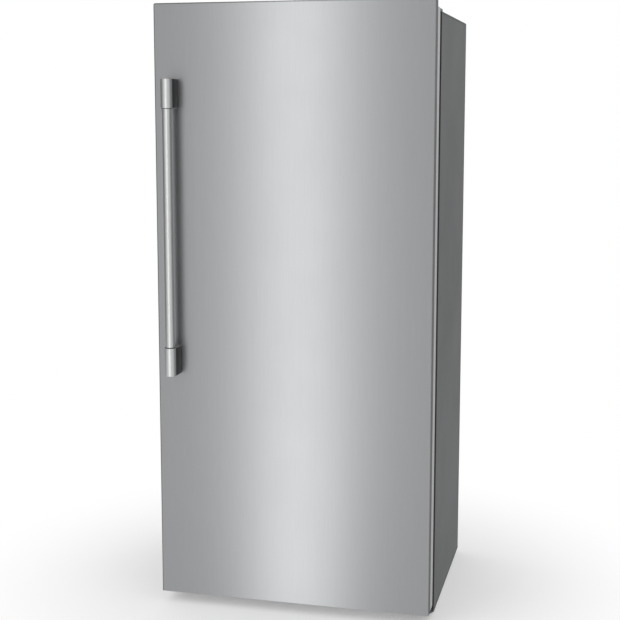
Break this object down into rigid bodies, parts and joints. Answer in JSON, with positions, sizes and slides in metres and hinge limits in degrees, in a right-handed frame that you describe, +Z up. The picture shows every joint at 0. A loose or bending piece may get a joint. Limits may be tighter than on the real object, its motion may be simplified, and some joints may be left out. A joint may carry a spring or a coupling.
{
  "type": "freezerless refrigerator",
  "caption": "Tall single-door all-refrigerator with a brushed steel door, a long round bar handle, glass shelves, crisper drawers and door bins inside.",
  "frame": {"origin": "on the floor, in the middle of the whole object's width and depth, handle included", "axes": "+X to the right as seen from the front, +Y to the back, +Z up; the door faces -Y"},
  "size_m": [0.838, 0.732, 1.829],
  "materials": {
    "stainless": "brushed",
    "handle_steel": "satin",
    "casing_grey": "satin",
    "zinc_sheet": "satin",
    "door_frame_grey": "satin",
    "liner_white": "gloss",
    "gasket_grey": "matte",
    "foam": "matte",
    "black_metal": "satin",
    "black_plastic": "matte",
    "grey_plastic": "matte",
    "clear_plastic": "gloss",
    "shelf_glass": "clear",
    "shelf_trim": "satin",
    "lens": "frosted",
    "button_grey": "satin",
    "fin_aluminium": "satin",
    "copper_tube": "satin",
    "bright_screw": "satin",
    "black_rubber": "matte",
    "nylon_white": "satin"
  },
  "bodies": {
    "cabinet": {"base_deck": "casing_grey", "base_rails": "zinc_sheet", "bottom_hinge": "black_metal", "cabinet_foam": "foam", "compressor": "black_metal", "compressor_mounts": "black_rubber", "compressor_plate": "zinc_sheet", "condenser_coil": "black_metal", "condenser_fan_motor": "zinc_sheet", "control_housing": "liner_white", "cord_gland": "black_plastic", "crisper_frame": "shelf_trim", "crisper_rails": "shelf_trim", "drawer_rails": "liner_white", "drip_tray": "black_plastic", "duct_cover": "liner_white", "evaporator_coil": "fin_aluminium", "hinge_cover": "black_plastic", "hinge_screws": "bright_screw", "inner_liner": "liner_white", "light_lenses": "lens", "outer_wrapper": "casing_grey", "rear_cover": "zinc_sheet", "rear_panel": "zinc_sheet", "refrigerant_tubes": "copper_tube", "roller_axles": "bright_screw", "room_fan_motor": "zinc_sheet", "shelf_frames": "shelf_trim", "shelf_glass": "shelf_glass", "shelf_tracks": "zinc_sheet", "switch_housing": "liner_white", "toe_grille": "black_plastic", "top_hinge": "black_metal"},
    "door": {"door_panel": "stainless", "door_shell": "door_frame_grey", "door_foam": "foam", "door_liner": "liner_white", "door_gasket": "gasket_grey", "hinge_bushes": "nylon_white", "handle_bar": "handle_steel", "handle_brackets": "handle_steel", "handle_studs": "bright_screw", "door_bins": "clear_plastic", "dairy_box": "clear_plastic"},
    "dairy_flap_body": {"dairy_flap": "clear_plastic"},
    "foot_left_body": {"foot_left": "black_plastic"},
    "foot_right_body": {"foot_right": "black_plastic"},
    "roller_left_body": {"roller_left": "nylon_white"},
    "roller_right_body": {"roller_right": "nylon_white"},
    "room_fan_body": {"room_fan": "grey_plastic"},
    "condenser_fan_body": {"condenser_fan": "black_plastic"},
    "button_warmer_body": {"button_warmer": "button_grey"},
    "button_colder_body": {"button_colder": "button_grey"},
    "button_boost_body": {"button_boost": "button_grey"},
    "switch_plunger_body": {"switch_plunger": "button_grey"},
    "crisper_left_body": {"crisper_left": "clear_plastic"},
    "crisper_right_body": {"crisper_right": "clear_plastic"},
    "wide_drawer_body": {"wide_drawer": "clear_plastic"},
    "humidity_slide_left_body": {"humidity_slide_left": "button_grey"},
    "humidity_slide_right_body": {"humidity_slide_right": "button_grey"}
  },
  "joints": [
    {"name": "door_hinge", "type": "hinge", "parent": "cabinet", "child": "door", "pos_m": [0.396, -0.2415, 0.9], "axis": [0, 0, 1], "range_deg": [0, 110]},
    {"name": "dairy_flap_hinge", "type": "hinge", "parent": "door", "child": "dairy_flap_body", "pos_m": [0, -0.121, 1.602], "axis": [1, 0, 0], "range_deg": [0, 85]},
    {"name": "crisper_left_slide", "type": "slide", "parent": "cabinet", "child": "crisper_left_body", "axis": [0, -1, 0], "range_m": [0, 0.2]},
    {"name": "crisper_right_slide", "type": "slide", "parent": "cabinet", "child": "crisper_right_body", "axis": [0, -1, 0], "range_m": [0, 0.2]},
    {"name": "wide_drawer_slide", "type": "slide", "parent": "cabinet", "child": "wide_drawer_body", "axis": [0, -1, 0], "range_m": [0, 0.2]},
    {"name": "switch_plunger_slide", "type": "slide", "parent": "cabinet", "child": "switch_plunger_body", "axis": [0, -1, 0], "range_m": [0, 0.008]},
    {"name": "humidity_left_slide", "type": "slide", "parent": "cabinet", "child": "humidity_slide_left_body", "axis": [1, 0, 0], "range_m": [-0.012, 0.012]},
    {"name": "humidity_right_slide", "type": "slide", "parent": "cabinet", "child": "humidity_slide_right_body", "axis": [1, 0, 0], "range_m": [-0.012, 0.012]},
    {"name": "button_warmer_press", "type": "slide", "parent": "cabinet", "child": "button_warmer_body", "axis": [0, 1, 0], "range_m": [0, 0.0015], "stiffness_N_per_m": 800},
    {"name": "button_colder_press", "type": "slide", "parent": "cabinet", "child": "button_colder_body", "axis": [0, 1, 0], "range_m": [0, 0.0015], "stiffness_N_per_m": 800},
    {"name": "button_boost_press", "type": "slide", "parent": "cabinet", "child": "button_boost_body", "axis": [0, 1, 0], "range_m": [0, 0.0015], "stiffness_N_per_m": 800},
    {"name": "roller_left_spin", "type": "hinge", "parent": "cabinet", "child": "roller_left_body", "pos_m": [-0.3968, 0.33, 0.021], "axis": [1, 0, 0], "continuous": true},
    {"name": "foot_left_turn", "type": "hinge", "parent": "cabinet", "child": "foot_left_body", "pos_m": [-0.3938, -0.175, 0], "axis": [0, 0, 1], "continuous": true},
    {"name": "roller_right_spin", "type": "hinge", "parent": "cabinet", "child": "roller_right_body", "pos_m": [0.3968, 0.33, 0.021], "axis": [1, 0, 0], "continuous": true},
    {"name": "foot_right_turn", "type": "hinge", "parent": "cabinet", "child": "foot_right_body", "pos_m": [0.3938, -0.175, 0], "axis": [0, 0, 1], "continuous": true},
    {"name": "room_fan_spin", "type": "hinge", "parent": "cabinet", "child": "room_fan_body", "pos_m": [0, 0.277, 1.08], "axis": [0, 1, 0], "continuous": true},
    {"name": "condenser_fan_spin", "type": "hinge", "parent": "cabinet", "child": "condenser_fan_body", "pos_m": [0.02, 0.279, 0.11], "axis": [1, 0, 0], "continuous": true}
  ],
  "couplings": [
    {"joint": "crisper_left_slide", "follows": "door_hinge", "m_per_rad": 0.104},
    {"joint": "crisper_right_slide", "follows": "door_hinge", "m_per_rad": 0.104},
    {"joint": "wide_drawer_slide", "follows": "door_hinge", "m_per_rad": 0.104},
    {"joint": "switch_plunger_slide", "follows": "door_hinge", "m_per_rad": 0.00416}
  ]
}
